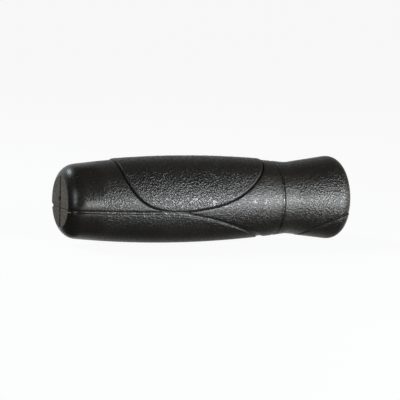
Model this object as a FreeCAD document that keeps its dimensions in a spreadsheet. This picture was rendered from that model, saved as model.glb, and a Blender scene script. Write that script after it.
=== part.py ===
import FreeCAD, Part
import math
import os
import Sketcher

# Ergonomic handlebar grip, one rubber moulding, in millimetres.
# The bar's axis is X. The origin is at the centre of the open mouth, +X points out of it, +Z is up.
# Stations named "at" count from the closed end, and stations named "from_mouth" from the open end.

SIZES = [
    # bore and walls
    ("length", 125.0, "closed end to open mouth"),
    ("bore_radius", 11.1, "for a 22.2 mm bar"),
    ("end_wall", 4.0, "rubber behind the closed end"),
    # side profile, as radii from the axis: three tangent arcs, a straight taper and the lip's arc
    ("end_round", 7.2, "rounding of the closed end"),
    ("end_setback", 6.85, "centre of that rounding, from the end face"),
    ("swell_at", 51.2, "fullest point of the palm swell"),
    ("swell_radius", 18.0, "grip radius at the palm swell"),
    ("waist_from_mouth", 24.6, "narrowest point"),
    ("waist_depth", 2.8, "how far the waist lies under the swell, on the radius"),
    ("waist_curve", 12.0, "hollow of the waist"),
    ("flare_rise", 2.4, "how far the flare stands over the waist, on the radius"),
    ("lip_round", 5.8, "rounding of the open end"),
    ("lip_setback", 5.35, "centre of that rounding, from the mouth"),
    # relief
    ("palm_proud", 0.53, "height of the grained palm area over its surroundings"),
    ("flare_proud", 0.15, "height of the lower flare area"),
    ("groove_depth", 0.5, "depth of every groove"),
    ("groove_width", 1.4, "side grooves, round the lower area"),
    ("seam_width", 0.6, "narrow groove round the palm area and the lower flare area"),
    ("ring_from_mouth", 31.0, "middle of the ring groove"),
    ("ring_width", 1.3, "ring groove"),
    ("gate_radius", 1.3, "dimple in the middle of the closed end"),
    ("gate_depth", 0.6, "dimple in the middle of the closed end"),
    # palm area's outline in the side view, a chain of tangent arcs through these points
    ("palm_front_at", 22.2, "front edge on top, where it starts down"),
    ("palm_bend_at", 29.2, "front edge, start of the tight bend"),
    ("palm_bend_height", 2.05, "front edge, start of the tight bend"),
    ("palm_sweep_at", 33.3, "front edge, end of the tight bend"),
    ("palm_sweep_height", -0.35, "front edge, end of the tight bend"),
    ("palm_low_height", -2.95, "lowest point, midway along the sweep"),
    ("palm_rise_from_mouth", 62.2, "rear edge, where it starts to rise"),
    ("palm_rise_height", -0.9, "rear edge, where it starts to rise"),
    ("palm_haunch_from_mouth", 45.2, "rear edge, upper side"),
    ("palm_haunch_height", 7.4, "rear edge, upper side"),
    ("palm_rear_from_mouth", 35.0, "rear edge, just over the top"),
    # lower area's upper edge in the side view: a straight stretch, then two tangent arcs
    ("lower_end_height", -3.4, "at the closed end"),
    ("lower_straight_at", 38.4, "where the straight stretch ends"),
    ("lower_straight_height", -4.4, "where the straight stretch ends"),
    ("lower_fall_from_mouth", 59.2, "where the edge falls faster"),
    ("lower_fall_height", -8.5, "where the edge falls faster"),
    ("lower_rear_from_mouth", 34.5, "rear tip, just under the grip"),
    # gap between the tips of the two upper side areas
    ("tips_front_at", 38.5, "tip of the front area"),
    ("tips_gap_length", 12.6, "from the front area's tip to the rear area's"),
    # lower flare area's upper edge in the side view, one arc through three points
    ("flare_edge_from_mouth", 22.4, "front tip, just under the grip"),
    ("flare_side_from_mouth", 10.7, "on the side"),
    ("flare_side_height", -9.85, "on the side"),
    ("flare_mouth_height", -5.2, "at the mouth"),
    # tools that cut right through reach past the grip by this much
    ("overrun", 3.0, "reach of the cutting forms past the grip"),
]

doc = FreeCAD.newDocument("handlebar_grip")
sheet = doc.addObject("Spreadsheet::Sheet", "sizes")
for row, (alias, value, note) in enumerate(SIZES, start=1):
    sheet.set(f"A{row}", alias)
    sheet.set(f"B{row}", str(value))
    sheet.set(f"C{row}", note)
    sheet.setAlias(f"B{row}", alias)
doc.recompute()


def size(alias):
    return float(sheet.get(alias))


SIDE_VIEW = FreeCAD.Placement(FreeCAD.Vector(0, 0, 0), FreeCAD.Rotation(FreeCAD.Vector(1, 0, 0), 90))
ALONG_BAR = FreeCAD.Rotation(FreeCAD.Vector(0, 1, 0), 90)


def side_sketch(name):
    """Empty sketch in the XZ plane: its x is the bar's axis and its y is height."""
    sketch = doc.addObject("Sketcher::SketchObject", name)
    sketch.Placement = SIDE_VIEW
    return sketch


def at(station):
    return -size("length") + size(station)


def from_mouth(station):
    return -size(station)


def waist_radius():
    return size("swell_radius") - size("waist_depth")


def flare_radius():
    return waist_radius() + size("flare_rise")


def outline_depth():
    """Height above or below the axis that clears the whole grip."""
    return size("swell_radius") + size("palm_proud") + size("overrun")


# the side profile as tangent arcs

def toward(start, end, distance):
    """Point at a distance from start, on the line to end."""
    step = end - start
    return start + step * (distance / step.Length)


def arc_centres(inset):
    """Centres and radii of the profile's arcs, for a surface that lies inset under the real one."""
    vec = FreeCAD.Vector
    hollow = size("waist_curve")
    waist = vec(from_mouth("waist_from_mouth"), waist_radius() + hollow, 0)
    # the swell's arc has its top at swell_at and meets the waist's arc, which sets its radius
    run = waist.x - at("swell_at")
    rise = hollow - size("waist_depth")
    swell_curve = (run ** 2 + rise ** 2 - hollow ** 2) / (2 * size("waist_depth"))
    swell = vec(at("swell_at"), size("swell_radius") - swell_curve, 0)
    corner_x = -size("length") + size("end_setback")
    reach = swell_curve - size("end_round")
    corner = vec(corner_x, swell.y + math.sqrt(reach ** 2 - (corner_x - swell.x) ** 2), 0)
    lip = vec(from_mouth("lip_setback"), flare_radius() - size("lip_round"), 0)
    return {
        "corner": (corner, size("end_round") - inset),
        "swell": (swell, swell_curve - inset),
        "waist": (waist, hollow + inset),
        "lip": (lip, size("lip_round") - inset),
    }


def taper_normal():
    """Outward direction square to the flare's straight taper, which passes under the waist's
    centre and over the lip's, and touches both arcs."""
    to_lip = arc_centres(0)["lip"][0] - arc_centres(0)["waist"][0]
    touching = math.asin((size("waist_curve") + size("lip_round")) / to_lip.Length)
    slope = math.atan2(to_lip.y, to_lip.x) + touching
    return FreeCAD.Vector(-math.sin(slope), math.cos(slope), 0)


def arc_between(centre, radius, start, end):
    """Arc that runs anticlockwise from start to end."""
    first = math.atan2(start.y - centre.y, start.x - centre.x)
    last = math.atan2(end.y - centre.y, end.x - centre.x)
    return Part.ArcOfCircle(Part.Circle(centre, FreeCAD.Vector(0, 0, 1), radius), first, last)


def profile_sketch(name, inset_text, inset):
    """Half section of the grip, moved inwards by inset, each curve tangent to the next."""
    vec = FreeCAD.Vector
    arcs = arc_centres(inset)
    corner, corner_r = arcs["corner"]
    swell, swell_r = arcs["swell"]
    waist, waist_r = arcs["waist"]
    lip, lip_r = arcs["lip"]
    end_x = -size("length") + inset
    # a proud form ends flush with the mouth, and the groove floor ends under it
    mouth_x = -max(inset, 0)
    face_edge = vec(end_x, corner.y + math.sqrt(corner_r ** 2 - (end_x - corner.x) ** 2), 0)
    shoulder = toward(swell, corner, swell_r)
    neck = toward(swell, waist, swell_r)
    throat = waist - taper_normal() * waist_r
    brow = lip + taper_normal() * lip_r
    mouth_edge = vec(mouth_x, lip.y + math.sqrt(lip_r ** 2 - (mouth_x - lip.x) ** 2), 0)

    sketch = side_sketch(name)
    face = sketch.addGeometry(Part.LineSegment(vec(end_x, 0, 0), face_edge), False)
    corner_arc = sketch.addGeometry(arc_between(corner, corner_r, shoulder, face_edge), False)
    swell_arc = sketch.addGeometry(arc_between(swell, swell_r, neck, shoulder), False)
    waist_arc = sketch.addGeometry(arc_between(waist, waist_r, neck, throat), False)
    taper = sketch.addGeometry(Part.LineSegment(throat, brow), False)
    lip_arc = sketch.addGeometry(arc_between(lip, lip_r, mouth_edge, brow), False)
    mouth = sketch.addGeometry(Part.LineSegment(mouth_edge, vec(mouth_x, 0, 0)), False)
    axis = sketch.addGeometry(Part.LineSegment(vec(mouth_x, 0, 0), vec(end_x, 0, 0)), False)

    start, end, centre = 1, 2, 3
    joins = [
        ("Coincident", face, end, corner_arc, end),
        ("Tangent", corner_arc, start, swell_arc, end),
        ("Tangent", swell_arc, start, waist_arc, start),
        ("Tangent", waist_arc, end, taper, start),
        ("Tangent", taper, end, lip_arc, end),
        ("Coincident", lip_arc, start, mouth, start),
        ("Coincident", mouth, end, axis, start),
        ("Coincident", axis, end, face, start),
    ]
    for join in joins:
        sketch.addConstraint(Sketcher.Constraint(*join))
    sketch.addConstraint(Sketcher.Constraint("Vertical", face))
    sketch.addConstraint(Sketcher.Constraint("Vertical", mouth))
    sketch.addConstraint(Sketcher.Constraint("PointOnObject", axis, start, -1))
    sketch.addConstraint(Sketcher.Constraint("PointOnObject", axis, end, -1))

    def dimension(label, constraint, text):
        index = sketch.addConstraint(constraint)
        sketch.renameConstraint(index, label)
        sketch.setExpression("Constraints." + label, text)

    def before_mouth(label, item, point, value, text):
        dimension(label, Sketcher.Constraint("DistanceX", item, point, -1, 1, value), text)

    def above_axis(label, item, point, value, text):
        dimension(label, Sketcher.Constraint("DistanceY", -1, 1, item, point, value), text)

    def radius(label, item, value, text):
        dimension(label, Sketcher.Constraint("Radius", item, value), text)

    before_mouth("end_face", face, start, -end_x, f"sizes.length - {inset_text}")
    if mouth_x == 0:
        sketch.addConstraint(Sketcher.Constraint("PointOnObject", mouth, end, -2))
    else:
        before_mouth("mouth_face", mouth, end, -mouth_x, inset_text)
    radius("corner_radius", corner_arc, corner_r, f"sizes.end_round - {inset_text}")
    before_mouth("corner_place", corner_arc, centre, -corner.x, "sizes.length - sizes.end_setback")
    before_mouth("swell_place", swell_arc, centre, -swell.x, "sizes.length - sizes.swell_at")
    swell_top = sketch.addGeometry(Part.Point(vec(swell.x, swell.y + swell_r, 0)), True)
    sketch.addConstraint(Sketcher.Constraint("PointOnObject", swell_top, start, swell_arc))
    before_mouth("swell_top_place", swell_top, start, -swell.x, "sizes.length - sizes.swell_at")
    above_axis("swell_top", swell_top, start, swell.y + swell_r, f"sizes.swell_radius - {inset_text}")
    before_mouth("waist_place", waist_arc, centre, -waist.x, "sizes.waist_from_mouth")
    waist_text = "sizes.swell_radius - sizes.waist_depth"
    above_axis("waist_height", waist_arc, centre, waist.y, waist_text + " + sizes.waist_curve")
    radius("waist_hollow", waist_arc, waist_r, f"sizes.waist_curve + {inset_text}")
    before_mouth("lip_place", lip_arc, centre, -lip.x, "sizes.lip_setback")
    above_axis("lip_height", lip_arc, centre, lip.y, waist_text + " + sizes.flare_rise - sizes.lip_round")
    radius("lip_radius", lip_arc, lip_r, f"sizes.lip_round - {inset_text}")
    return sketch


def revolved(name, inset_text, inset):
    """Half of a solid of revolution about the bar's axis, its surface inset under the real one."""
    form = doc.addObject("Part::Revolution", name)
    form.Source = profile_sketch(name + "_profile", inset_text, inset)
    form.Axis = FreeCAD.Vector(1, 0, 0)
    form.Base = FreeCAD.Vector(0, 0, 0)
    form.Angle = 180
    form.Solid = True
    return form


# the mould opens along the XZ plane, so one half is built and the other is its mirror image
outer_form = revolved("outer_form", "0", 0.0)
floor_form = revolved("groove_floor_form", "sizes.groove_depth", size("groove_depth"))
palm_form = revolved("palm_form", "(-sizes.palm_proud)", -size("palm_proud"))
flare_form = revolved("flare_form", "(-sizes.flare_proud)", -size("flare_proud"))


# outlines of the areas in the side view, each pushed through the whole grip

def tangent_arcs(points, heading):
    """Arcs from point to point, each tangent to the one before; heading is the first one's direction."""
    arcs = []
    for start, end in zip(points, points[1:]):
        chord = end - start
        slope = math.atan2(chord.y, chord.x)
        half_turn = math.remainder(slope - heading, 2 * math.pi)
        left = FreeCAD.Vector(-chord.y, chord.x, 0)
        middle = start + chord * 0.5 - left * (0.5 * math.tan(half_turn / 2))
        arcs.append(Part.Arc(start, middle, end))
        heading = slope + half_turn
    return arcs


def area_outline(name, edge, closing_points):
    """Closed sketch: the edge's curves in order, closed by straight lines well off the grip."""
    sketch = side_sketch(name)
    for curve in edge:
        sketch.addGeometry(curve, False)
    corners = [edge[-1].EndPoint] + closing_points + [edge[0].StartPoint]
    for start, end in zip(corners, corners[1:]):
        sketch.addGeometry(Part.LineSegment(start, end), False)
    return sketch


def pushed_through(name, outline):
    """Prism of an outline across the grip, from past one side to past the other."""
    prism = doc.addObject("Part::Extrusion", name)
    prism.Base = outline
    prism.DirMode = "Normal"
    prism.Symmetric = True
    prism.Solid = True
    prism.setExpression("LengthFwd", "2 * (sizes.swell_radius + sizes.palm_proud + sizes.overrun)")
    return prism


def widened(name, outline, width_alias):
    """The outline moved outwards by the width of the groove that runs round it."""
    wider = doc.addObject("Part::Offset2D", name)
    wider.Source = outline
    wider.Join = "Arc"
    wider.setExpression("Value", "sizes." + width_alias)
    return wider


def fused(name, shapes):
    joined = doc.addObject("Part::MultiFuse", name)
    joined.Shapes = shapes
    return joined


def cut(name, base, tool):
    left = doc.addObject("Part::Cut", name)
    left.Base = base
    left.Tool = tool
    return left


def common(name, first, second):
    shared = doc.addObject("Part::MultiCommon", name)
    shared.Shapes = [first, second]
    return shared


clear_above = outline_depth()
clear_below = -outline_depth()
past_end = -size("length") - size("overrun")
past_mouth = size("overrun")

palm_top = size("swell_radius")
palm_low = (at("palm_sweep_at") + from_mouth("palm_rise_from_mouth")) / 2
STRAIGHT_DOWN = -math.pi / 2
palm_points = [
    FreeCAD.Vector(at("palm_front_at"), palm_top, 0),
    FreeCAD.Vector(at("palm_bend_at"), size("palm_bend_height"), 0),
    FreeCAD.Vector(at("palm_sweep_at"), size("palm_sweep_height"), 0),
    FreeCAD.Vector(palm_low, size("palm_low_height"), 0),
    FreeCAD.Vector(from_mouth("palm_rise_from_mouth"), size("palm_rise_height"), 0),
    FreeCAD.Vector(from_mouth("palm_haunch_from_mouth"), size("palm_haunch_height"), 0),
    FreeCAD.Vector(from_mouth("palm_rear_from_mouth"), palm_top + size("palm_proud"), 0),
]
palm_outline = area_outline(
    "palm_outline",
    tangent_arcs(palm_points, STRAIGHT_DOWN),
    [
        FreeCAD.Vector(from_mouth("palm_rear_from_mouth"), clear_above, 0),
        FreeCAD.Vector(at("palm_front_at"), clear_above, 0),
    ],
)

lower_start = FreeCAD.Vector(past_end, size("lower_end_height"), 0)
lower_points = [
    FreeCAD.Vector(at("lower_straight_at"), size("lower_straight_height"), 0),
    FreeCAD.Vector(from_mouth("lower_fall_from_mouth"), size("lower_fall_height"), 0),
    FreeCAD.Vector(from_mouth("lower_rear_from_mouth"), -size("swell_radius"), 0),
]
straight = lower_points[0] - lower_start
lower_outline = area_outline(
    "lower_outline",
    [Part.LineSegment(lower_start, lower_points[0])]
    + tangent_arcs(lower_points, math.atan2(straight.y, straight.x)),
    [
        FreeCAD.Vector(from_mouth("lower_rear_from_mouth"), clear_below, 0),
        FreeCAD.Vector(past_end, clear_below, 0),
    ],
)

flare_edge = Part.Arc(
    FreeCAD.Vector(from_mouth("flare_edge_from_mouth"), -flare_radius(), 0),
    FreeCAD.Vector(from_mouth("flare_side_from_mouth"), size("flare_side_height"), 0),
    FreeCAD.Vector(0, size("flare_mouth_height"), 0),
)
flare_outline = area_outline(
    "flare_outline",
    [flare_edge],
    [
        FreeCAD.Vector(past_mouth, size("flare_mouth_height"), 0),
        FreeCAD.Vector(past_mouth, clear_below, 0),
        FreeCAD.Vector(from_mouth("flare_edge_from_mouth"), clear_below, 0),
    ],
)

palm_prism = pushed_through("palm_prism", palm_outline)
lower_prism = pushed_through("lower_prism", lower_outline)
flare_prism = pushed_through("flare_prism", flare_outline)
palm_clearance = pushed_through("palm_clearance", widened("palm_wider", palm_outline, "seam_width"))
lower_clearance = pushed_through("lower_clearance", widened("lower_wider", lower_outline, "groove_width"))
flare_clearance = pushed_through("flare_clearance", widened("flare_wider", flare_outline, "seam_width"))


def box_across(name, x_text, length_text, z_text, height_text):
    """Box right across the grip, placed and sized by expressions."""
    box = doc.addObject("Part::Box", name)
    box.setExpression("Length", length_text)
    box.setExpression("Width", "2 * (sizes.swell_radius + sizes.palm_proud + sizes.overrun)")
    box.setExpression("Height", height_text)
    box.setExpression("Placement.Base.x", x_text)
    box.setExpression("Placement.Base.y", "-(sizes.swell_radius + sizes.palm_proud + sizes.overrun)")
    box.setExpression("Placement.Base.z", z_text)
    return box


ring_band = box_across(
    "ring_band",
    "-sizes.ring_from_mouth - sizes.ring_width / 2",
    "sizes.ring_width",
    "-(sizes.swell_radius + sizes.palm_proud + sizes.overrun)",
    "2 * (sizes.swell_radius + sizes.palm_proud + sizes.overrun)",
)
tips_gap = box_across(
    "tips_gap",
    "sizes.tips_front_at - sizes.length",
    "sizes.tips_gap_length",
    "sizes.lower_straight_height",
    "sizes.palm_sweep_height - sizes.lower_straight_height",
)

# the smooth side areas are what the other areas and the grooves round them leave of the outer form
side_areas = outer_form
for clearance in (palm_clearance, lower_clearance, flare_clearance, ring_band, tips_gap):
    side_areas = cut("side_areas_less_" + clearance.Name, side_areas, clearance)

# the grained palm area and the lower flare area stand proud, and the lower area lies flush
palm_area = common("palm_area", palm_form, palm_prism)
lower_area = common("lower_area", outer_form, lower_prism)
flare_area = common("flare_area", flare_form, flare_prism)

# between the areas the groove floor shows
near_half = fused("near_half", [floor_form, side_areas, palm_area, lower_area, flare_area])
far_half = doc.addObject("Part::Mirroring", "far_half")
far_half.Source = near_half
far_half.Normal = FreeCAD.Vector(0, 1, 0)
raised_form = fused("raised_form", [near_half, far_half])

# the blind bore for the bar and the dimple that the moulding gate leaves
bore = doc.addObject("Part::Cylinder", "bore")
bore.setExpression("Radius", "sizes.bore_radius")
bore.setExpression("Height", "sizes.length - sizes.end_wall + sizes.overrun")
bore.Placement = FreeCAD.Placement(FreeCAD.Vector(0, 0, 0), ALONG_BAR)
bore.setExpression("Placement.Base.x", "sizes.end_wall - sizes.length")
gate = doc.addObject("Part::Cylinder", "gate")
gate.setExpression("Radius", "sizes.gate_radius")
gate.setExpression("Height", "sizes.gate_depth + sizes.overrun")
gate.Placement = FreeCAD.Placement(FreeCAD.Vector(0, 0, 0), ALONG_BAR)
gate.setExpression("Placement.Base.x", "-sizes.length - sizes.overrun")
hollows = fused("hollows", [bore, gate])

grip = cut("grip", raised_form, hollows)
grip.Label = "grip"
doc.recompute()

for item in doc.Objects:
    if "Invalid" in item.State or "Error" in item.State:
        raise RuntimeError(f"{item.Name} failed: {item.State}")
PARTS = [grip]
for item in PARTS:
    if item.Shape.isNull() or not item.Shape.isValid():
        raise RuntimeError(f"{item.Label} has no valid shape")
    if len(item.Shape.Solids) != 1:
        raise RuntimeError(f"{item.Label} has {len(item.Shape.Solids)} solids")

os.makedirs("parts", exist_ok=True)
for item in PARTS:
    item.Shape.exportStep(f"parts/{item.Label}.step")
    box = item.Shape.BoundBox
    print(item.Label, "volume", round(item.Shape.Volume), "mm3, box", round(box.XLength, 2),
          round(box.YLength, 2), round(box.ZLength, 2), "faces", len(item.Shape.Faces))
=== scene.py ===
import math

import bmesh
import bpy
import numpy as np
from mathutils import Matrix, Vector, geometry, kdtree


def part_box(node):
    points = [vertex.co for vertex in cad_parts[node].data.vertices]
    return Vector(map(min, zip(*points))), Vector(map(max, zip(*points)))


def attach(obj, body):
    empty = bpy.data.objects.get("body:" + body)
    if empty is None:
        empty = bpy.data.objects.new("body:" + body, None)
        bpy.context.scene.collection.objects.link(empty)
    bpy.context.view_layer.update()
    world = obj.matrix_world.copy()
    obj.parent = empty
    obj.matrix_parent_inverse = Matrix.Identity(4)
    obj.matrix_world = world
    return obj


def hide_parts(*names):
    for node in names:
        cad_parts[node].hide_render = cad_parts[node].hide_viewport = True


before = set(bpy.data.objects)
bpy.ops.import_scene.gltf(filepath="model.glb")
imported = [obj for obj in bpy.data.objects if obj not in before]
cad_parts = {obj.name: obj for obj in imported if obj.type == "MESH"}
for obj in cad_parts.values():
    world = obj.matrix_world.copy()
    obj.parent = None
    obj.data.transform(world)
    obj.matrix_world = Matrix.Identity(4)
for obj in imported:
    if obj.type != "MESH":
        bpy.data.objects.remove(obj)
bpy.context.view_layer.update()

# The grip is one black rubber moulding, pushed over the end of the bar. Its side profile is a rounded
# closed end, a long palm swell, a hollow waist and a flared, rounded mouth, turned about the bar's
# axis. Sizes are in millimetres, x runs from the closed end (-length) to the mouth (0).
MM = 0.001
low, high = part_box("grip")
LENGTH = round((high.x - low.x) / MM, 3)
END_ROUND, END_SETBACK = 7.2, 6.85
SWELL_AT, SWELL_RADIUS = 51.2, 18.0
WAIST_FROM_MOUTH, WAIST_DEPTH, WAIST_CURVE = 24.6, 2.8, 12.0
FLARE_RISE, LIP_ROUND, LIP_SETBACK = 2.4, 5.8, 5.35
PROFILE_STEP, TAPER_POINTS = 0.1, 58


def profile_arc(centre, radius, first, last, outward):
    """Points and outward normals along an arc of the side profile."""
    count = max(3, int(abs(last - first) * radius / PROFILE_STEP))
    turn = np.linspace(first, last, count)
    ray = np.column_stack([np.cos(turn), np.sin(turn)])
    return centre + radius * ray, outward * ray


waist = np.array([-WAIST_FROM_MOUTH, SWELL_RADIUS - WAIST_DEPTH + WAIST_CURVE])
swell_x = SWELL_AT - LENGTH
run, rise = waist[0] - swell_x, WAIST_CURVE - WAIST_DEPTH
swell_curve = (run ** 2 + rise ** 2 - WAIST_CURVE ** 2) / (2 * WAIST_DEPTH)
swell = np.array([swell_x, SWELL_RADIUS - swell_curve])
corner_x = END_SETBACK - LENGTH
corner_reach = swell_curve - END_ROUND
corner = np.array([corner_x, swell[1] + math.sqrt(corner_reach ** 2 - (corner_x - swell_x) ** 2)])
lip = np.array([-LIP_SETBACK, SWELL_RADIUS - WAIST_DEPTH + FLARE_RISE - LIP_ROUND])
to_lip = lip - waist
taper_slope = math.atan2(to_lip[1], to_lip[0]) + math.asin((WAIST_CURVE + LIP_ROUND) / np.hypot(*to_lip))
taper_normal = np.array([-math.sin(taper_slope), math.cos(taper_slope)])
shoulder_angle = math.atan2(corner[1] - swell[1], corner[0] - swell[0])
neck_angle = math.atan2(waist[1] - swell[1], waist[0] - swell[0])
face_angle = math.pi - math.acos(END_SETBACK / END_ROUND)
mouth_angle = math.acos(LIP_SETBACK / LIP_ROUND)

taper_ends = np.array([waist - WAIST_CURVE * taper_normal, lip + LIP_ROUND * taper_normal])
taper_share = np.linspace(0, 1, TAPER_POINTS + 2)[1:-1, None]
taper = taper_ends[0] + taper_share * (taper_ends[1] - taper_ends[0])
stretches = [
    profile_arc(corner, END_ROUND, face_angle, shoulder_angle, 1),
    profile_arc(swell, swell_curve, shoulder_angle, neck_angle, 1),
    profile_arc(waist, WAIST_CURVE, neck_angle + math.pi, 1.5 * math.pi + taper_slope, -1),
    (taper, np.tile(taper_normal, (TAPER_POINTS, 1))),
    profile_arc(lip, LIP_ROUND, 0.5 * math.pi + taper_slope, mouth_angle, 1),
]
profile = np.vstack([points for points, normals in stretches])
profile_normal = np.vstack([normals for points, normals in stretches])
steps = np.hypot(*np.diff(profile, axis=0).T)
along = np.concatenate([[0], np.cumsum(steps)])
keep = np.concatenate([[True], steps > 1e-6])
profile, profile_normal, along = profile[keep], profile_normal[keep], along[keep]
OUTER_RUN = along[-1]


# The relief is laid out in the side view, because the mould opens sideways: a raised, grained palm
# area, two smooth side areas, a smooth lower area and a slightly raised lower area on the flare.
# Grooves of one depth run between them, and a ring groove goes round before the waist.
PALM_PROUD, FLARE_PROUD, GROOVE_DEPTH = 0.53, 0.15, 0.5
GROOVE_WIDTH, SEAM_WIDTH, RING_WIDTH, RING_FROM_MOUTH = 1.4, 0.5, 1.3, 31.0
OUTLINE_STEP = 0.02
STRAIGHT_DOWN = -math.pi / 2


def tangent_chain(points, heading):
    """Closely spaced points along arcs from point to point, each tangent to the one before."""
    pieces = []
    for (x0, z0), (x1, z1) in zip(points, points[1:]):
        chord, slope = math.hypot(x1 - x0, z1 - z0), math.atan2(z1 - z0, x1 - x0)
        half_turn = math.remainder(slope - heading, 2 * math.pi)
        count = int(chord / OUTLINE_STEP)
        if abs(half_turn) < 1e-6:
            share = np.linspace(0, 1, count, endpoint=False)
            pieces.append(np.column_stack([x0 + share * (x1 - x0), z0 + share * (z1 - z0)]))
        else:
            radius = chord / 2 / math.sin(half_turn)
            turned = heading + 2 * half_turn * np.linspace(0, 1, count, endpoint=False)
            pieces.append(np.column_stack([
                x0 + radius * (np.sin(turned) - math.sin(heading)),
                z0 - radius * (np.cos(turned) - math.cos(heading)),
            ]))
        heading = slope + half_turn
    pieces.append(np.array([points[-1]]))
    return np.vstack(pieces)


PAST = 3.0
sweep_end, rise_start = 33.3 - LENGTH, -62.2
palm_chain = tangent_chain([
    (22.6 - LENGTH, SWELL_RADIUS), (29.6 - LENGTH, 2.05), (sweep_end, -0.35),
    ((sweep_end + rise_start) / 2, -2.95), (rise_start, -0.9), (-45.2, 7.4),
    (-35.0, SWELL_RADIUS + PALM_PROUD),
], STRAIGHT_DOWN)
lower_start, lower_straight = (-LENGTH - PAST, -3.2), (38.4 - LENGTH, -4.2)
lower_heading = math.atan2(lower_straight[1] - lower_start[1], lower_straight[0] - lower_start[0])
lower_chain = tangent_chain([
    lower_start, lower_straight, (-59.2, -8.5), (-34.5, -SWELL_RADIUS),
], lower_heading)
FLARE_EDGE = [(-22.4, -lip[1] - LIP_ROUND), (-10.7, -9.85), (0.0, -5.2)]


def three_point_arc(first, middle, last):
    """Closely spaced points on the circle through three points, run on a little past the last."""
    matrix = 2 * np.array([np.subtract(middle, first), np.subtract(last, first)])
    squares = [np.dot(middle, middle) - np.dot(first, first), np.dot(last, last) - np.dot(first, first)]
    centre = np.linalg.solve(matrix, squares)
    radius = np.hypot(*(np.array(first) - centre))
    ends = [math.atan2(point[1] - centre[1], point[0] - centre[0]) for point in (first, last)]
    turn = math.remainder(ends[1] - ends[0], 2 * math.pi)
    past = math.copysign(PAST / radius, turn)
    turned = np.linspace(ends[0], ends[1] + past, int(radius * abs(turn + past) / OUTLINE_STEP))
    return centre + radius * np.column_stack([np.cos(turned), np.sin(turned)])


flare_chain = three_point_arc(*FLARE_EDGE)
ring_x = -RING_FROM_MOUTH
# between the two side areas' pointed tips the grooves run together, so no side area stands there
TIPS_AT, TIPS_GAP = 38.5 - LENGTH, 12.6
TIPS_LOW, TIPS_HIGH = (TIPS_AT, -4.4), (TIPS_AT + TIPS_GAP, -0.35)
FRONT_TIP_LINE, REAR_TIP_LINE = (-3.6, -2.2), (-4.6, -2.8)
# nearer to an outline than this, the distance is measured straight across it
NEAR_CHAIN = 0.5


def search_tree(places):
    """A search tree over flat places."""
    tree = kdtree.KDTree(len(places))
    for index, (a, b) in enumerate(places):
        tree.insert((a, b, 0), index)
    tree.balance()
    return tree


class SideCurve:
    """One outline in the side view, with the signed distance of any point from it."""

    def __init__(self, chain, inside):
        self.chain = chain
        tangent = np.gradient(chain, axis=0)
        tangent /= np.hypot(*tangent.T)[:, None]
        self.normal = inside * np.column_stack([-tangent[:, 1], tangent[:, 0]])
        self.tree = search_tree(chain)

    def distance(self, x, z):
        """Positive inside the area that the outline bounds."""
        nearest = np.array([self.tree.find((a, b, 0))[1] for a, b in zip(x, z)])
        offset = np.column_stack([x, z]) - self.chain[nearest]
        across = np.sum(offset * self.normal[nearest], axis=1)
        reach = np.hypot(*offset.T)
        return np.where(reach < NEAR_CHAIN, across, np.copysign(reach, across))

    def shifted(self, distance):
        """The outline moved into its area by a distance."""
        return self.chain + self.normal * distance


palm_edge = SideCurve(palm_chain, 1)
lower_edge = SideCurve(lower_chain, -1)
flare_edge = SideCurve(flare_chain, -1)

# cross-section of every raised edge: distance inside the edge, and share of the full height there
EDGE_AT = [-0.12, 0.0, 0.07, 0.17, 0.32]
PALM_EDGE_AT = [-0.08, 0.0, 0.16, 0.34, 0.6]
EDGE_SHARE = [0.0, 0.45, 0.76, 0.93, 1.0]
# the narrow seams round the palm and flare areas are cut a little deeper than the wide grooves
SEAM_EXTRA = 0.45
# a seam's walls are painted black with shade below the first depth, over the second; the ring's floor is
# polished up to its walls, and the pebbles rise to full height over a run inside the palm area's edge
PAINTED_SHADE_BELOW, PAINTED_SHADE_OVER, RING_WALL, PEBBLES_RISE_OVER = 0.25, 0.4, 0.1, 0.4


def area_distances(x, z):
    """Distance inside the palm, lower, flare and side areas, for points of the side view."""
    palm, lower, flare = (edge.distance(x, z) for edge in (palm_edge, lower_edge, flare_edge))
    ring = np.abs(x - ring_x) - RING_WIDTH / 2
    past_tips = np.maximum(
        np.maximum(TIPS_LOW[0] - x, x - TIPS_HIGH[0]),
        np.maximum(TIPS_LOW[1] - z, z - TIPS_HIGH[1]),
    )
    side = np.minimum.reduce([
        -palm - SEAM_WIDTH, -lower - GROOVE_WIDTH, -flare - SEAM_WIDTH, ring, past_tips,
    ])
    return palm, lower, flare, side


def relief(x, z):
    """Height over the plain profile, the palm area's mask, and the mask of seams (1, painted shade) and
    ring (-1).
    """
    palm, lower, flare, side = area_distances(x, z)
    in_seam = (np.maximum(palm, flare) > -SEAM_WIDTH - EDGE_AT[-1]) & (lower < -GROOVE_WIDTH)
    bottom = -GROOVE_DEPTH - SEAM_EXTRA * in_seam
    height = bottom
    for inside, top, edge_at in (
        (palm, PALM_PROUD, PALM_EDGE_AT), (lower, 0.0, EDGE_AT),
        (flare, FLARE_PROUD, EDGE_AT), (side, 0.0, EDGE_AT),
    ):
        share = np.interp(inside, edge_at, EDGE_SHARE)
        height = np.maximum(height, bottom + (top - bottom) * share)
    # where a seam is deep, this mask paints shade on its walls and floor and makes them matt
    sunk = np.where(in_seam, np.clip((-height - PAINTED_SHADE_BELOW) / PAINTED_SHADE_OVER, 0, 1), 0)
    # the ring groove's floor is the other way round, polished, and its mask is -1
    sunk = sunk - (np.abs(x - ring_x) < RING_WIDTH / 2 - RING_WALL)
    return height, np.clip((palm - PALM_EDGE_AT[-1]) / PEBBLES_RISE_OVER, 0, 1), sunk


# The rubber skin is meshed flat, along the profile and round the near half, with its triangles
# following every edge of the relief, and the far half is its mirror image, as the mould's is.
ROUND_SCALE = 17.0
QUARTER = ROUND_SCALE * math.pi / 2
LINE_SPACING, PLAIN_SPACING, GRAIN_SPACING = 0.5, 1.1, 0.3
# an outline's run of fewer points is left out, and a run's end this near to a border is put on it
FEWEST_POINTS, SNAP = 20, 1.5
ON_BORDER, MERGE = 1e-3, 1e-4


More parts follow.
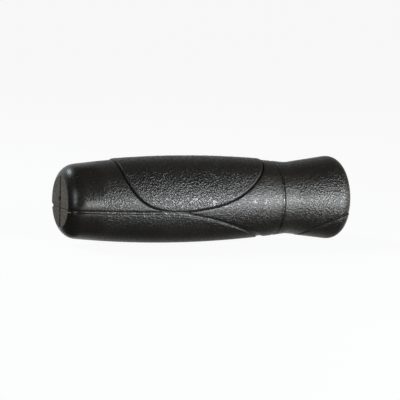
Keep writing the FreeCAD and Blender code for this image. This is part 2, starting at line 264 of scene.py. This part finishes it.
def unrolled(chain):
    """Runs of an outline that lie on the near half, as points (along, round) of even spacing."""
    x, z = chain.T
    radius = np.interp(x, profile[:, 0], profile[:, 1])
    inside = (x > -LENGTH) & (x < 0) & (np.abs(z) < radius)
    edges = np.flatnonzero(np.diff(np.concatenate([[0], inside.astype(int), [0]])))
    runs = []
    for first, last in zip(edges[::2], edges[1::2]):
        if last - first < FEWEST_POINTS:
            continue
        s = np.interp(x[first:last], profile[:, 0], along)
        t = ROUND_SCALE * np.arcsin(z[first:last] / radius[first:last])
        for end in (0, -1):
            gaps = [s[end], OUTER_RUN - s[end], QUARTER - abs(t[end])]
            nearest = int(np.argmin(gaps))
            if gaps[nearest] < SNAP:
                if nearest == 2:
                    t[end] = math.copysign(QUARTER, t[end])
                else:
                    s[end] = 0 if nearest == 0 else OUTER_RUN
        reach = np.concatenate([[0], np.cumsum(np.hypot(np.diff(s), np.diff(t)))])
        even = np.linspace(0, reach[-1], max(2, int(reach[-1] / LINE_SPACING) + 1))
        runs.append(np.column_stack([np.interp(even, reach, s), np.interp(even, reach, t)]))
    return runs


def upright_line(x, z_ends):
    """An upright line of the side view as closely spaced points."""
    count = int((z_ends[1] - z_ends[0]) / OUTLINE_STEP) + 2
    return np.column_stack([np.full(count, x), np.linspace(*z_ends, count)])


def round_line(s):
    """A line round the near half, at one place along the profile."""
    count = int(2 * QUARTER / LINE_SPACING)
    return np.column_stack([np.full(count, s), np.linspace(-QUARTER, QUARTER, count)])


CRISP_ROW = 0.2
lines = []
for inside in PALM_EDGE_AT:
    lines += unrolled(palm_edge.shifted(inside))
for inside in EDGE_AT:
    lines += unrolled(palm_edge.shifted(-SEAM_WIDTH - inside))
    lines += unrolled(lower_edge.shifted(inside))
    lines += unrolled(lower_edge.shifted(-GROOVE_WIDTH - inside))
    lines += unrolled(flare_edge.shifted(inside))
    lines += unrolled(flare_edge.shifted(-SEAM_WIDTH - inside))
    lines += unrolled(upright_line(TIPS_LOW[0] - inside, FRONT_TIP_LINE))
    lines += unrolled(upright_line(TIPS_HIGH[0] + inside, REAR_TIP_LINE))
    for side in (-1, 1):
        ring_edge = ring_x + side * (RING_WIDTH / 2 + inside)
        lines.append(round_line(float(np.interp(ring_edge, profile[:, 0], along))))
# a row just behind the closed end's edge and just before the mouth's keeps both edges crisp
lines += [round_line(CRISP_ROW), round_line(OUTER_RUN - CRISP_ROW)]


def hexagon_grid(x_span, y_span, spacing):
    """Points of a triangular grid over a rectangle."""
    rows = np.arange(y_span[0], y_span[1], spacing * math.sqrt(0.75))
    grid = []
    for index, y in enumerate(rows):
        x = np.arange(x_span[0] + (index % 2) * spacing / 2, x_span[1], spacing)
        grid.append(np.column_stack([x, np.full(len(x), y)]))
    return np.vstack(grid)


def side_view(points):
    """Side view places x, z of unrolled points (along, round)."""
    x = np.interp(points[:, 0], along, profile[:, 0])
    radius = np.interp(points[:, 0], along, profile[:, 1])
    return x, radius * np.sin(points[:, 1] / ROUND_SCALE)


# the fill keeps clear of the fold lines and raised edges by shares of its spacing, and of the ends and
# of the lines that end there by millimetres
FOLD_CLEAR, EDGE_CLEAR, END_CLEAR, LINE_CLEAR = 0.4, 0.45, 0.7, 0.3
DENSITIES = ((GRAIN_SPACING, True), (PLAIN_SPACING, False))
WHOLE_LAYOUT, INSIDE_OUTLINE = 0, 1


def well_inside(places, spacing, grained):
    """Those unrolled places that lie clear of every edge, on the palm area or on the plain areas."""
    palm, lower, flare, side = area_distances(*side_view(places))
    inside = palm if grained else np.maximum.reduce([lower, flare, side])
    last_row = (PALM_EDGE_AT if grained else EDGE_AT)[-1]
    return places[inside > last_row + spacing * EDGE_CLEAR]


def triangulated(lines, scattered, outline=()):
    """Points and triangles of a flat layout that follow every line, cut off at an outline if given."""
    points = [Vector((float(a), float(b))) for a, b in outline]
    edges = [(i, (i + 1) % len(outline)) for i in range(len(outline))]
    for line in lines:
        first = len(points)
        points += [Vector((float(a), float(b))) for a, b in line]
        edges += [(first + i, first + i + 1) for i in range(len(line) - 1)]
    points += [Vector((float(a), float(b))) for block in scattered for a, b in block]
    kept = INSIDE_OUTLINE if len(outline) else WHOLE_LAYOUT
    flat = geometry.delaunay_2d_cdt(points, edges, [], kept, MERGE)
    return np.array([tuple(v) for v in flat[0]]), [tuple(face) for face in flat[2]]


fill = []
for spacing, grained in DENSITIES:
    margin = spacing * FOLD_CLEAR
    s_span, t_span = (END_CLEAR, OUTER_RUN - END_CLEAR), (margin - QUARTER, QUARTER - margin)
    fill.append(well_inside(hexagon_grid(s_span, t_span, spacing), spacing, grained))
for border in (-QUARTER, QUARTER):
    for spacing, grained in DENSITIES:
        s = np.arange(END_CLEAR, OUTER_RUN - END_CLEAR, spacing)
        row = np.column_stack([s, np.full(len(s), border)])
        fill.append(well_inside(row, spacing, grained))
line_ends = np.array([line[end] for line in lines for end in (0, -1)])
for border in (0.0, OUTER_RUN):
    t = np.linspace(-QUARTER, QUARTER, int(2 * QUARTER / PLAIN_SPACING))
    row = np.column_stack([np.full(len(t), border), t])
    taken = line_ends[np.abs(line_ends[:, 0] - border) < 1e-6]
    if len(taken):
        nearest = np.min(np.abs(t[:, None] - taken[None, :, 1]), axis=1)
        ends = np.isclose(np.abs(t), QUARTER)
        row = row[(nearest > LINE_CLEAR) | ends]
    fill.append(row)
skin, skin_faces = triangulated(lines, fill)

skin_x, skin_z = side_view(skin)
skin_height, skin_palm, skin_sunk = relief(skin_x, skin_z)
turned = skin[:, 1] / ROUND_SCALE
radius = np.interp(skin[:, 0], along, profile[:, 1])
normal_x = np.interp(skin[:, 0], along, profile_normal[:, 0])
normal_r = np.interp(skin[:, 0], along, profile_normal[:, 1])
placed_x = np.clip(skin_x + normal_x * skin_height, -LENGTH, 0)
placed_r = radius + normal_r * skin_height
near = np.column_stack([placed_x, -placed_r * np.cos(turned), placed_r * np.sin(turned)])
near[np.abs(np.abs(skin[:, 1]) - QUARTER) < ON_BORDER, 1] = 0
far = near * [1, -1, 1]

# The closed end is a flat disc. The groove over the lower area runs on across it, a dimple is left
# where the rubber was fed in, and the mould's parting line stands up and down its middle.
GATE_RADIUS, GATE_DEPTH = 1.25, 0.8
GATE_MIDDLE = (0.4, 1.2)
GATE_SECTION = ((0.5, 0.85, 1.0, 1.15), (1, 0.9, 0.3, 0))
PARTING_HALF, PARTING_DEPTH = 0.84, 0.3
# across the face the groove is a narrow crease, and it opens to full width only at the rim
CREASE_HALF, CREASE_DEPTH, CREASE_OPENS = 0.3, 0.22, 1.3
CREASE_SECTION = ((0.3, 0.8, 1.0, 1.25), (1, 0.8, 0.4, 0))
# the triangles follow rows along the crease and the parting line, and rings round the dimple
CREASE_ROWS = (-1.0, -0.7, -0.45, -0.25, -0.1, 0.0, 0.1, 0.25, 0.45, 0.7, 1.0)
GATE_RINGS, GATE_POINTS = (0.5, 0.85, 1.0, 1.15, 1.35), 41
CREASE_SHORT, PARTING_SHORT = 0.35, 0.4
DISC_SPACING, RIM_CLEAR, PARTING_CLEAR, GATE_CLEAR, CREASE_CLEAR = 0.7, 0.5, 0.25, 0.6, 0.3


def edge_loop(at_run):
    """The skin's border at one end, from the bottom up the near side, then down the far side."""
    on_border = np.flatnonzero(np.abs(skin[:, 0] - at_run) < ON_BORDER)
    up = on_border[np.argsort(skin[on_border, 1])]
    return np.vstack([near[up], far[up[::-1]][1:-1]])


end_loop = edge_loop(0.0)
face_radius = float(profile[0, 1])
lower_at_end = float(np.interp(-LENGTH, lower_chain[:, 0], lower_chain[:, 1]))
crease_level = lower_at_end + GROOVE_WIDTH / 2
levels = [crease_level + offset for offset in CREASE_ROWS]
extra = []
for level in levels:
    half = math.sqrt(face_radius ** 2 - level ** 2) - CREASE_SHORT
    row = np.linspace(-half, half, int(2 * half / LINE_SPACING))
    extra.append(np.column_stack([row, np.full(len(row), level)]))
for across in (-PARTING_HALF, -PARTING_HALF / 2, PARTING_HALF / 2, PARTING_HALF):
    half = face_radius - PARTING_SHORT
    row = np.linspace(-half, half, int(2 * face_radius / LINE_SPACING))
    extra.append(np.column_stack([np.full(len(row), across), row]))
for ring in GATE_RINGS:
    around = np.linspace(0, 2 * math.pi, GATE_POINTS)
    extra.append(GATE_MIDDLE + GATE_RADIUS * ring * np.column_stack([np.cos(around), np.sin(around)]))
grid = hexagon_grid((-face_radius, face_radius), (-face_radius, face_radius), DISC_SPACING)
off_gate = np.hypot(*(grid - GATE_MIDDLE).T) > GATE_RADIUS + GATE_CLEAR
off_parting = np.abs(grid[:, 0]) > PARTING_HALF + PARTING_CLEAR
grid = grid[(np.hypot(*grid.T) < face_radius - RIM_CLEAR) & off_parting & off_gate]
grid = grid[np.min(np.abs(grid[:, 1:2] - np.array(levels)[None]), axis=1) > CREASE_CLEAR]
disc, disc_faces = triangulated(extra, [grid], end_loop[:, 1:])
opened = np.clip((np.hypot(*disc.T) - face_radius + CREASE_OPENS) / CREASE_OPENS, 0, 1)
crease_half = CREASE_HALF + opened * (GROOVE_WIDTH / 2 - CREASE_HALF)
crease_depth = CREASE_DEPTH + opened * (GROOVE_DEPTH - CREASE_DEPTH)
across_crease = np.abs(disc[:, 1] - crease_level) / crease_half
sunk = crease_depth * np.interp(across_crease, *CREASE_SECTION)
from_gate = np.hypot(*(disc - GATE_MIDDLE).T) / GATE_RADIUS
sunk = np.maximum(sunk, GATE_DEPTH * np.interp(from_gate, *GATE_SECTION))
parted = np.interp(np.abs(disc[:, 0]), [PARTING_HALF / 2, PARTING_HALF], [1, 0])
sunk = np.maximum(sunk, PARTING_DEPTH * parted)
disc_x = -LENGTH + sunk
# where the disc meets the skin, both have the skin's own border points
loop_tree = search_tree(end_loop[:, 1:])
end_disc = []
for (y, z), x in zip(disc, disc_x):
    spot, index, gap = loop_tree.find((y, z, 0))
    end_disc.append(tuple(end_loop[index]) if gap < ON_BORDER else (x, y, z))
end_disc = np.array(end_disc)

# The open mouth is a plain ring of rubber, and the blind bore behind it takes the bar.
BORE_RADIUS, END_WALL = 11.1, 4.0
bore_end = END_WALL - LENGTH
# radius and place of each row, over the mouth's rounded edge, down the bore and across its end
BORE_ROWS = [
    (12.6, 0.0), (11.6, 0.0), (11.32, -0.06), (11.15, -0.22),
    *((BORE_RADIUS, at) for at in (-0.5, -6.0, -30.0, -60.0, -90.0, bore_end + 0.6)),
    (10.9, bore_end + 0.15), (10.4, bore_end), (7.0, bore_end), (3.0, bore_end),
]
mouth_loop = edge_loop(OUTER_RUN)
count = len(mouth_loop)
direction = np.arctan2(mouth_loop[:, 2], mouth_loop[:, 1])
rings = [mouth_loop]
for ring_radius, ring_at in BORE_ROWS:
    rings.append(np.column_stack([
        np.full(count, ring_at), ring_radius * np.cos(direction), ring_radius * np.sin(direction),
    ]))
bore = np.vstack(rings + [np.array([[bore_end, 0, 0]])])
bore_faces = []
for row in range(len(BORE_ROWS)):
    for i in range(count):
        j = (i + 1) % count
        bore_faces.append((row * count + i, row * count + j, (row + 1) * count + j, (row + 1) * count + i))
middle = len(bore) - 1
last = len(BORE_ROWS) * count
bore_faces += [(last + i, last + (i + 1) % count, middle) for i in range(count)]

# The four stretches are joined into one closed skin, with every normal outwards.
SIDE, END = 0, 1
skin_masks = np.column_stack([skin_palm, skin_sunk])
# the crease, the dimple and the parting line on the end face carry the seam mask too, for painted shade
disc_masks = np.column_stack([np.zeros(len(sunk)), np.maximum(parted, np.clip(sunk / GROOVE_DEPTH, 0, 1))])
blocks = [
    (near, skin_faces, skin_masks, SIDE), (far, [face[::-1] for face in skin_faces], skin_masks, SIDE),
    (end_disc, disc_faces, disc_masks, END), (bore, bore_faces, np.zeros((len(bore), 2)), END),
]
vertices, faces, masks, finishes = [], [], [], []
for block_points, block_faces, block_masks, finish in blocks:
    first = len(vertices)
    vertices += [tuple(float(v) * MM for v in point) for point in block_points]
    faces += [tuple(first + i for i in face) for face in block_faces]
    masks.append(block_masks)
    finishes += [finish] * len(block_faces)
mesh = bpy.data.meshes.new("plain_skin")
mesh.from_pydata(vertices, [], faces)
for name, values in zip(("palm", "sunk"), np.vstack(masks).T):
    layer = mesh.attributes.new(name, "FLOAT", "POINT")
    layer.data.foreach_set("value", values.astype(np.float32))
mesh.polygons.foreach_set("material_index", finishes)
SAME_PLACE, NO_LENGTH = 0.002 * MM, 0.0001 * MM
work = bmesh.new()
work.from_mesh(mesh)
bmesh.ops.remove_doubles(work, verts=work.verts, dist=SAME_PLACE)
bmesh.ops.dissolve_degenerate(work, dist=NO_LENGTH, edges=work.edges)
bmesh.ops.recalc_face_normals(work, faces=work.faces)
work.to_mesh(mesh)
work.free()
mesh.polygons.foreach_set("use_smooth", [True] * len(mesh.polygons))


# The rubber is black all through, and its finish is the mould's: a fine spark-eroded grain on the sides,
# smoother towards the closed end, deeper on the palm area, and a matt, slightly greyed skin on the end
# face and in the bore, painted pale there partly as painted reflection of the bright studio the end face
# looks to.
def number(tree, operation, *given):
    """A math node fed by sockets or plain numbers, as its output socket."""
    node = tree.nodes.new("ShaderNodeMath")
    node.operation = operation
    for socket, value in zip(node.inputs, given):
        if isinstance(value, bpy.types.NodeSocket):
            tree.links.new(value, socket)
        else:
            socket.default_value = value
    return node.outputs[0]


def spread(tree, value, low_in, high_in, low_out, high_out):
    """A value mapped smoothly from one range to another, as an output socket."""
    node = tree.nodes.new("ShaderNodeMapRange")
    node.interpolation_type = "SMOOTHSTEP"
    tree.links.new(value, node.inputs["Value"])
    ends = (("From Min", low_in), ("From Max", high_in), ("To Min", low_out), ("To Max", high_out))
    for name, number_given in ends:
        node.inputs[name].default_value = number_given
    return node.outputs["Result"]


def axes_of(tree, place):
    """X, Y and Z of a place or a direction, as output sockets."""
    split = tree.nodes.new("ShaderNodeSeparateXYZ")
    tree.links.new(place, split.inputs[0])
    return split.outputs


def grain_group():
    """Shared grain: a fine height pattern and a slow tone, both from 0 to 1."""
    group = bpy.data.node_groups.new("moulded_grain", "ShaderNodeTree")
    group.interface.new_socket(name="Vector", in_out="INPUT", socket_type="NodeSocketVector")
    for name in ("Grain size", "Seed"):
        group.interface.new_socket(name=name, in_out="INPUT", socket_type="NodeSocketFloat")
    for name in ("Height", "Tone"):
        group.interface.new_socket(name=name, in_out="OUTPUT", socket_type="NodeSocketFloat")
    given, out = group.nodes.new("NodeGroupInput"), group.nodes.new("NodeGroupOutput")
    per_metre = number(group, "DIVIDE", 1.0, given.outputs["Grain size"])
    for name, share, detail, span in (("Height", 1.0, 1.0, (0.36, 0.64)), ("Tone", 0.04, 3.0, (0.3, 0.7))):
        noise = group.nodes.new("ShaderNodeTexNoise")
        noise.noise_dimensions = "4D"
        noise.inputs["Detail"].default_value = detail
        group.links.new(given.outputs["Vector"], noise.inputs["Vector"])
        group.links.new(given.outputs["Seed"], noise.inputs["W"])
        group.links.new(number(group, "MULTIPLY", per_metre, share), noise.inputs["Scale"])
        group.links.new(spread(group, noise.outputs["Fac"], *span, 0.0, 1.0), out.inputs[name])
    return group


moulded_grain = grain_group()
# the seams' near-black colour is painted shade
GROOVE_ROUGHNESS, PAINTED_GROOVE_SHADE, RING_POLISH = 0.85, (0.004, 0.0034, 0.003), -0.12
GROOVE_SPAN, RING_SPAN = (0.15, 0.7), (-1.0, -0.2)


def rubber(name, grain_size, grain_depth, seed, colours, roughness, detail=None):
    """Black rubber with the shared grain; detail, if given, changes its height, tone and sheen."""
    material = bpy.data.materials.new(name)
    material.use_nodes = True
    tree = material.node_tree
    shader = tree.nodes["Principled BSDF"]
    place = tree.nodes.new("ShaderNodeTexCoord")
    grain = tree.nodes.new("ShaderNodeGroup")
    grain.node_tree = moulded_grain
    grain.inputs["Grain size"].default_value = grain_size * MM
    grain.inputs["Seed"].default_value = seed
    tree.links.new(place.outputs["Object"], grain.inputs["Vector"])
    height, tone = grain.outputs["Height"], grain.outputs["Tone"]
    sheen = spread(tree, height, 0.0, 1.0, roughness[1], roughness[0])
    if detail:
        height, tone, sheen = detail(tree, place, height, tone, sheen)
    # the seams are dead matt and painted darker, as painted shade where light falls into them, but the
    # ring groove's floor was polished in the mould
    groove = tree.nodes.new("ShaderNodeAttribute")
    groove.attribute_name = "sunk"
    depth = spread(tree, groove.outputs["Fac"], *GROOVE_SPAN, 0.0, 1.0)
    sheen = number(tree, "MAXIMUM", sheen, number(tree, "MULTIPLY", depth, GROOVE_ROUGHNESS))
    polish = spread(tree, groove.outputs["Fac"], *RING_SPAN, RING_POLISH, 0.0)
    sheen = number(tree, "ADD", sheen, polish)
    colour = tree.nodes.new("ShaderNodeMix")
    colour.data_type = "RGBA"
    colour.inputs[6].default_value = (*colours[0], 1)
    colour.inputs[7].default_value = (*colours[1], 1)
    tree.links.new(tone, colour.inputs[0])
    # painted shade: the base colour turns near black where the seam mask is set
    shaded = tree.nodes.new("ShaderNodeMix")
    shaded.data_type = "RGBA"
    shaded.inputs[7].default_value = (*PAINTED_GROOVE_SHADE, 1)
    tree.links.new(depth, shaded.inputs[0])
    tree.links.new(colour.outputs[2], shaded.inputs[6])
    bump = tree.nodes.new("ShaderNodeBump")
    bump.inputs["Distance"].default_value = grain_depth * MM
    tree.links.new(height, bump.inputs["Height"])
    tree.links.new(shaded.outputs[2], shader.inputs["Base Color"])
    tree.links.new(sheen, shader.inputs["Roughness"])
    tree.links.new(bump.outputs["Normal"], shader.inputs["Normal"])
    return material


SMOOTH_END_AT, GRAINED_AT, END_GRAIN, END_GLOSS = 11.0, 17.0, 0.12, -0.1
TOP_TONE, TOP_WORN, MOTTLED = 0.35, -0.05, 0.6


def toward_end(tree, place, height, tone, sheen):
    """The grain fades out and the gloss rises on the rounding of the closed end."""
    x = axes_of(tree, place.outputs["Object"])["X"]
    span = ((SMOOTH_END_AT - LENGTH) * MM, (GRAINED_AT - LENGTH) * MM)
    grained = spread(tree, x, *span, END_GRAIN, 1.0)
    glossier = spread(tree, x, *span, END_GLOSS, 0.0)
    return number(tree, "MULTIPLY", height, grained), tone, number(tree, "ADD", sheen, glossier)


def over_pebbles(tree, place, height, tone, sheen):
    """Pebble tops are rubbed a little glossier than the valleys between them."""
    pebble = tree.nodes.new("ShaderNodeAttribute")
    pebble.attribute_name = "pebble"
    top = pebble.outputs["Fac"]
    lifted = number(tree, "MULTIPLY_ADD", top, TOP_TONE, number(tree, "MULTIPLY", tone, 1 - TOP_TONE))
    worn = number(tree, "MULTIPLY_ADD", top, TOP_WORN, sheen)
    return height, lifted, worn


def speckled(tree, place, height, tone, sheen):
    """The end face is mottled at the size of its grain."""
    fine = number(tree, "MULTIPLY", height, MOTTLED)
    return height, number(tree, "MULTIPLY_ADD", tone, 1 - MOTTLED, fine), sheen


DARK_RUBBER, GREY_RUBBER = (0.0098, 0.008, 0.0064), (0.0155, 0.0128, 0.01)
# the end finish is far paler than the black rubber: partly its greyed skin, partly painted reflection
END_DARK, END_PALE = (0.095, 0.078, 0.061), (0.19, 0.158, 0.124)
side_rubber = rubber("side_rubber", 0.6, 0.1, 1.0, (DARK_RUBBER, GREY_RUBBER), (0.33, 0.5), toward_end)
palm_rubber = rubber("palm_rubber", 0.6, 0.15, 2.0, (DARK_RUBBER, GREY_RUBBER), (0.3, 0.5), over_pebbles)
end_rubber = rubber("end_rubber", 0.6, 0.09, 3.0, (END_DARK, END_PALE), (0.6, 0.75), speckled)
for finish in (side_rubber, end_rubber):
    mesh.materials.append(finish)

# The palm area's pebbles are each about a millimetre across and a tenth high, like coarse leather.
# They are moulded with the skin, so the nodes lift the skin itself wherever its palm mask is set.
PEBBLE_SIZE, PEBBLE_HEIGHT, PEBBLE_SEED = 0.85, 0.09, 4.0
PEBBLE_FALL, PEBBLE_MIDDLE, PEBBLED_FROM = 0.3, 0.45, 0.3
UNEVEN_SCALE, UNEVEN_SPAN, UNEVEN_HEIGHT = 0.45, (0.3, 0.7), (0.45, 1.25)


def pebble_tree():
    """Geometry nodes that raise the pebbles and keep their height for the finish."""
    tree = bpy.data.node_groups.new("palm_pebbles", "GeometryNodeTree")
    tree.interface.new_socket(name="Skin", in_out="INPUT", socket_type="NodeSocketGeometry")
    for name in ("Pebble size", "Pebble height", "Seed"):
        tree.interface.new_socket(name=name, in_out="INPUT", socket_type="NodeSocketFloat")
    tree.interface.new_socket(name="Skin", in_out="OUTPUT", socket_type="NodeSocketGeometry")
    nodes, links = tree.nodes, tree.links
    given, out = nodes.new("NodeGroupInput"), nodes.new("NodeGroupOutput")
    place, facing = nodes.new("GeometryNodeInputPosition"), nodes.new("GeometryNodeInputNormal")
    palm = nodes.new("GeometryNodeInputNamedAttribute")
    palm.data_type = "FLOAT"
    palm.inputs["Name"].default_value = "palm"
    per_metre = number(tree, "DIVIDE", 1.0, given.outputs["Pebble size"])

    cells = nodes.new("ShaderNodeTexVoronoi")
    cells.voronoi_dimensions = "4D"
    cells.feature = "DISTANCE_TO_EDGE"
    links.new(place.outputs[0], cells.inputs["Vector"])
    links.new(given.outputs["Seed"], cells.inputs["W"])
    links.new(per_metre, cells.inputs["Scale"])
    uneven = nodes.new("ShaderNodeTexNoise")
    links.new(place.outputs[0], uneven.inputs["Vector"])
    links.new(number(tree, "MULTIPLY", per_metre, UNEVEN_SCALE), uneven.inputs["Scale"])
    swelling = spread(tree, uneven.outputs["Fac"], *UNEVEN_SPAN, *UNEVEN_HEIGHT)
    domed = spread(tree, cells.outputs["Distance"], 0.0, PEBBLE_FALL, 0.0, 1.0)
    raised = number(tree, "MULTIPLY", domed, swelling)
    kept = number(tree, "MULTIPLY", raised, palm.outputs["Attribute"])
    over_middle = number(tree, "SUBTRACT", raised, PEBBLE_MIDDLE)
    lift = number(tree, "MULTIPLY", over_middle, given.outputs["Pebble height"])
    lift = number(tree, "MULTIPLY", lift, palm.outputs["Attribute"])
    offset = nodes.new("ShaderNodeVectorMath")
    offset.operation = "SCALE"
    links.new(facing.outputs[0], offset.inputs[0])
    links.new(lift, offset.inputs["Scale"])

    keep_height = nodes.new("GeometryNodeStoreNamedAttribute")
    keep_height.data_type = "FLOAT"
    keep_height.domain = "POINT"
    keep_height.inputs["Name"].default_value = "pebble"
    move = nodes.new("GeometryNodeSetPosition")
    real = nodes.new("GeometryNodeRealizeInstances")
    dress = nodes.new("GeometryNodeSetMaterial")
    dress.inputs["Material"].default_value = palm_rubber
    links.new(given.outputs["Skin"], keep_height.inputs["Geometry"])
    links.new(kept, keep_height.inputs["Value"])
    links.new(keep_height.outputs["Geometry"], move.inputs["Geometry"])
    links.new(offset.outputs[0], move.inputs["Offset"])
    links.new(move.outputs["Geometry"], real.inputs["Geometry"])
    links.new(real.outputs["Geometry"], dress.inputs["Geometry"])
    pebbled = number(tree, "GREATER_THAN", palm.outputs["Attribute"], PEBBLED_FROM)
    links.new(pebbled, dress.inputs["Selection"])
    links.new(dress.outputs["Geometry"], out.inputs["Skin"])
    return tree


grip = bpy.data.objects.new("grip_rubber", mesh)
bpy.context.scene.collection.objects.link(grip)
pebbles = grip.modifiers.new("pebbles", "NODES")
pebbles.node_group = pebble_tree()
items = pebbles.node_group.interface.items_tree
sockets = {item.name: item.identifier for item in items if item.in_out == "INPUT"}
pebbles[sockets["Pebble size"]] = PEBBLE_SIZE * MM
pebbles[sockets["Pebble height"]] = PEBBLE_HEIGHT * MM
pebbles[sockets["Seed"]] = PEBBLE_SEED
depsgraph = bpy.context.evaluated_depsgraph_get()
grained = bpy.data.meshes.new_from_object(
    grip.evaluated_get(depsgraph), preserve_all_data_layers=True, depsgraph=depsgraph,
)
grip.modifiers.remove(pebbles)
grained.name = "grip_rubber"
grip.data = grained

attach(grip, "root")
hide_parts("grip")


# The stage is a pale floor under the grip, with the camera where the photograph was taken from.
def kinds_of_ray(tree):
    """1 for rays that the camera sees, also through glass, and 1 for rays that gloss mirrors."""
    ray = tree.nodes.new("ShaderNodeLightPath")
    seen = number(tree, "MAXIMUM", ray.outputs["Is Camera Ray"], ray.outputs["Is Transmission Ray"])
    return seen, ray.outputs["Is Glossy Ray"]


FLOOR_CORNERS = ((-6.0, -6.0), (6.0, -6.0), (6.0, 6.0), (-6.0, 6.0))
floor_mesh = bpy.data.meshes.new("floor")
floor_mesh.from_pydata([(x, y, low.z) for x, y in FLOOR_CORNERS], [], [(0, 1, 2, 3)])
floor = bpy.data.objects.new("floor", floor_mesh)
bpy.context.scene.collection.objects.link(floor)
pale = bpy.data.materials.new("pale_floor")
pale.use_nodes = True
tree = pale.node_tree
matt = tree.nodes["Principled BSDF"]
matt.inputs["Base Color"].default_value = (0.82, 0.82, 0.82, 1)
matt.inputs["Roughness"].default_value = 0.9
glow = tree.nodes.new("ShaderNodeEmission")
place = tree.nodes.new("ShaderNodeNewGeometry")
# for reflections only, the floor is painted dark in front of the rubber and bright behind it, with the
# dark part wider past the closed end, and two glowing patches in front, painted highlights, a strong and a
# weak one
SEEN_SHARE, SEEN_LEVEL, MIRRORED_DARK, MIRRORED_BRIGHT = 0.8, 1.15, 0.05, 1.0
MIRRORED_KEY, MIRRORED_LEFT = 22.0, 2.5
BRIGHT_Y, PAST_END_X, PAST_END_SLANT = (-0.011, 0.003), -0.118, -1.8
KEY_X, KEY_Y = (-0.11, 0.0), (-0.15, -0.035)
LEFT_X, LEFT_END_X, LEFT_Y = (-0.05, 0.0), (-0.16, -0.12), (-0.08, -0.02)
seen, mirrored = kinds_of_ray(tree)
at = axes_of(tree, place.outputs["Position"])
beside = number(tree, "MAXIMUM", number(tree, "SUBTRACT", PAST_END_X, at["X"]), 0.0)
farther = number(tree, "MULTIPLY_ADD", beside, PAST_END_SLANT, at["Y"])
behind = spread(tree, farther, *BRIGHT_Y, MIRRORED_DARK, MIRRORED_BRIGHT)
key_level = spread(tree, at["Y"], *KEY_Y, MIRRORED_KEY, 0.0)
key_share = spread(tree, at["X"], *KEY_X, 0.0, 1.0)
left_level = spread(tree, at["Y"], *LEFT_Y, MIRRORED_LEFT, 0.0)
left_share = number(
    tree, "MULTIPLY",
    spread(tree, at["X"], *LEFT_X, 1.0, 0.0), spread(tree, at["X"], *LEFT_END_X, 0.0, 1.0),
)
under_key = number(tree, "MULTIPLY", key_level, key_share)
under_left = number(tree, "MULTIPLY", left_level, left_share)
patches = number(tree, "MULTIPLY", number(tree, "ADD", under_key, under_left), mirrored)
level = number(tree, "MAXIMUM", number(tree, "MULTIPLY", seen, SEEN_LEVEL), behind)
tree.links.new(number(tree, "ADD", level, patches), glow.inputs["Strength"])
blend = tree.nodes.new("ShaderNodeMixShader")
share = number(tree, "MULTIPLY_ADD", seen, SEEN_SHARE, mirrored)
tree.links.new(share, blend.inputs[0])
tree.links.new(matt.outputs[0], blend.inputs[1])
tree.links.new(glow.outputs[0], blend.inputs[2])
tree.links.new(blend.outputs[0], tree.nodes["Material Output"].inputs["Surface"])
floor_mesh.materials.append(pale)

PIXELS, FOCAL_PIXELS, SENSOR = 400, 2600, 36
METRES_PER_PIXEL = 0.42089 * MM
YAW, ELEVATION, ROLL = math.radians(-21.5), math.radians(6.6), math.radians(1.57)
CENTRE_PIXEL = (1.228, 0.949)
backward = Vector((
    math.sin(YAW) * math.cos(ELEVATION), -math.cos(YAW) * math.cos(ELEVATION), math.sin(ELEVATION),
))
level_right = Vector((math.cos(YAW), math.sin(YAW), 0))
level_up = backward.cross(level_right)
right = level_right * math.cos(ROLL) + level_up * math.sin(ROLL)
up = -level_right * math.sin(ROLL) + level_up * math.cos(ROLL)
aim = Vector((-LENGTH / 2 * MM, 0, 0))
aim -= (right * CENTRE_PIXEL[0] + up * CENTRE_PIXEL[1]) * METRES_PER_PIXEL
camera_data = bpy.data.cameras.new("camera")
camera_data.sensor_width = SENSOR
camera_data.lens = FOCAL_PIXELS / PIXELS * SENSOR
camera_data.clip_end = 20
camera = bpy.data.objects.new("camera", camera_data)
turn = Matrix((right, up, backward)).transposed().to_4x4()
camera.matrix_world = Matrix.Translation(aim + backward * FOCAL_PIXELS * METRES_PER_PIXEL) @ turn
bpy.context.scene.collection.objects.link(camera)
bpy.context.scene.camera = camera


COOL_WHITE = (0.86, 0.96, 1.0)


def softbox(name, place, size, power, colour):
    """A rectangular lamp that faces the grip."""
    data = bpy.data.lights.new(name, "AREA")
    data.shape = "RECTANGLE"
    data.size, data.size_y = size
    data.energy = power
    data.color = colour
    lamp = bpy.data.objects.new(name, data)
    lamp.location = place
    lamp.rotation_euler = (aim - Vector(place)).to_track_quat("-Z", "Y").to_euler()
    bpy.context.scene.collection.objects.link(lamp)


softbox("key", (0.24, -0.5, 0.022), (0.4, 0.08), 4.9, COOL_WHITE)
softbox("left_fill", (-0.55, -0.2, 0.08), (0.14, 0.26), 0.7, COOL_WHITE)
softbox("back_spot", (-0.36, 0.38, 0.4), (0.12, 0.12), 0.7, COOL_WHITE)

# The studio is white behind the grip and dim on the camera's side, so that the rubber stays black.
FRONT_LEVEL, BACK_LEVEL, MIRRORED_BACK, BACK_SPAN = 0.05, 0.25, 0.45, (0.45, 0.95)
world = bpy.data.worlds.new("studio")
bpy.context.scene.world = world
world.use_nodes = True
tree = world.node_tree
background = tree.nodes["Background"]
background.inputs["Color"].default_value = (1, 1, 1, 1)
direction = tree.nodes.new("ShaderNodeTexCoord")
seen, mirrored = kinds_of_ray(tree)
behind = spread(tree, axes_of(tree, direction.outputs["Generated"])["Y"], *BACK_SPAN, 0.0, 1.0)
lit = number(tree, "MULTIPLY_ADD", mirrored, MIRRORED_BACK, BACK_LEVEL)
level = number(tree, "MULTIPLY_ADD", behind, lit, FRONT_LEVEL)
tree.links.new(number(tree, "MAXIMUM", level, seen), background.inputs["Strength"])

bpy.context.scene.view_settings.view_transform = "Standard"
